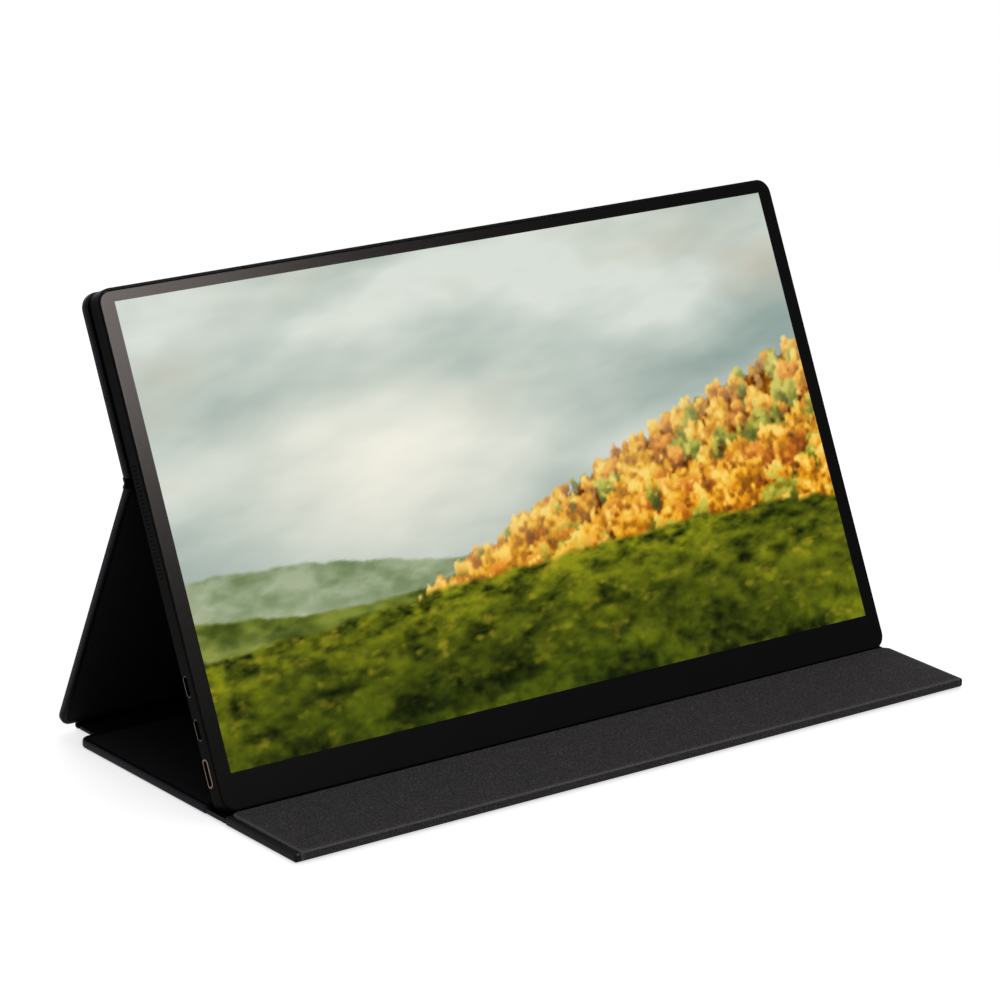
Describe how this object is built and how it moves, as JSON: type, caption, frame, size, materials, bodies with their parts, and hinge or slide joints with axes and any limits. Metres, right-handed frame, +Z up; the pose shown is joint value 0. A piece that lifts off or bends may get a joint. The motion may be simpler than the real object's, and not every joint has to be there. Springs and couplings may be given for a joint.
{
  "type": "portable monitor with folding cover",
  "caption": "Thin flat screen held by a folding cover that forms an easel stand: leaning display, rear strut, base panel and fabric-faced front flap.",
  "frame": {"origin": "on the table under the middle of the whole footprint", "axes": "+X to the viewer's right along the screen's width, +Y away from the viewer, +Z up"},
  "size_m": [0.3604, 0.1708, 0.1966],
  "materials": {
    "cover_skin": "smooth matte polyurethane skin",
    "stiff_board": "pressed fibre board",
    "cover_lining": "smooth suede-like lining",
    "flap_cloth": "speckled woven microfibre",
    "magnet": "nickel-plated bar magnet",
    "shell_metal": "black anodised, fine matte",
    "screen_glass": "clear glossy glass with a black printed border",
    "foam_tape": "black foam",
    "frame_plastic": "black moulded plastic",
    "panel_cell": "liquid crystal cell that shows the picture",
    "optical_film": "translucent film",
    "guide_acrylic": "clear acrylic",
    "reflector": "white film",
    "tray_steel": "plain pressed sheet",
    "led_strip": "white strip with small lamps",
    "circuit_board": "green glass-fibre board",
    "chip": "black chip package",
    "ribbon": "amber flexible circuit",
    "screw_steel": "plated steel",
    "socket_metal": "plated socket shell",
    "speaker_case": "black moulded plastic",
    "key_plastic": "black satin plastic"
  },
  "bodies": {
    "base": {"base_skin": "cover_skin", "base_board": "stiff_board", "base_lining": "cover_lining", "front_crease": "cover_skin", "base_crease": "cover_skin"},
    "flap": {"flap_skin": "cover_skin", "flap_board": "stiff_board", "flap_fabric": "flap_cloth", "flap_magnets": "magnet"},
    "spine": {"spine_strip": "cover_skin", "rear_crease": "cover_skin"},
    "strut": {"strut_skin": "cover_skin", "strut_board": "stiff_board", "strut_lining": "cover_lining", "back_crease": "cover_skin"},
    "display": {"back_skin": "cover_skin", "back_board": "stiff_board", "back_lining": "cover_lining", "back_magnets": "magnet", "back_shell": "shell_metal", "front_glass": "screen_glass", "glass_tape": "foam_tape", "middle_frame": "frame_plastic", "lcd_cell": "panel_cell", "film_stack": "optical_film", "light_guide": "guide_acrylic", "reflector_sheet": "reflector", "backlight_tray": "tray_steel", "led_bar": "led_strip", "driver_board": "circuit_board", "panel_ribbon": "ribbon", "main_board": "circuit_board", "board_chips": "chip", "usb_c_socket_upper": "socket_metal", "usb_c_socket_lower": "socket_metal", "mini_hdmi_socket": "socket_metal", "speaker_left": "speaker_case", "speaker_right": "speaker_case", "speaker_gaskets": "foam_tape", "speaker_grille_left": "frame_plastic", "speaker_grille_right": "frame_plastic", "button_board": "circuit_board", "button_switches": "speaker_case", "small_screws": "screw_steel"},
    "power_key": {"power_button": "key_plastic"},
    "plus_key": {"plus_button": "key_plastic"},
    "minus_key": {"minus_button": "key_plastic"}
  },
  "joints": [
    {"name": "flap_fold", "type": "hinge", "parent": "base", "child": "flap", "pos_m": [0, -0.03665, 0.0005], "axis": [-1, 0, 0], "range_deg": [0, 17], "deforming": ["front_crease"]},
    {"name": "base_swing", "type": "hinge", "parent": "base", "child": "spine", "pos_m": [0, 0.06895, 0.0005], "axis": [-1, 0, 0], "range_deg": [0, 90], "deforming": ["base_crease"]},
    {"name": "strut_fold", "type": "hinge", "parent": "spine", "child": "strut", "pos_m": [0, 0.08505, 0.0005], "axis": [-1, 0, 0], "range_deg": [0, 112.12], "deforming": ["rear_crease"]},
    {"name": "screen_fold", "type": "hinge", "parent": "strut", "child": "display", "pos_m": [0, 0.03561, 0.12214], "axis": [1, 0, 0], "range_deg": [0, 48.33], "deforming": ["back_crease"]},
    {"name": "power_press", "type": "slide", "parent": "display", "child": "power_key", "axis": [-1, 0, 0], "range_m": [0, 0.00035], "stiffness_N_per_m": 2000},
    {"name": "plus_press", "type": "slide", "parent": "display", "child": "plus_key", "axis": [-1, 0, 0], "range_m": [0, 0.00035], "stiffness_N_per_m": 2000},
    {"name": "minus_press", "type": "slide", "parent": "display", "child": "minus_key", "axis": [-1, 0, 0], "range_m": [0, 0.00035], "stiffness_N_per_m": 2000}
  ],
  "couplings": [
    {"joint": "screen_fold", "follows": "strut_fold", "ratio": 0.43097}
  ]
}
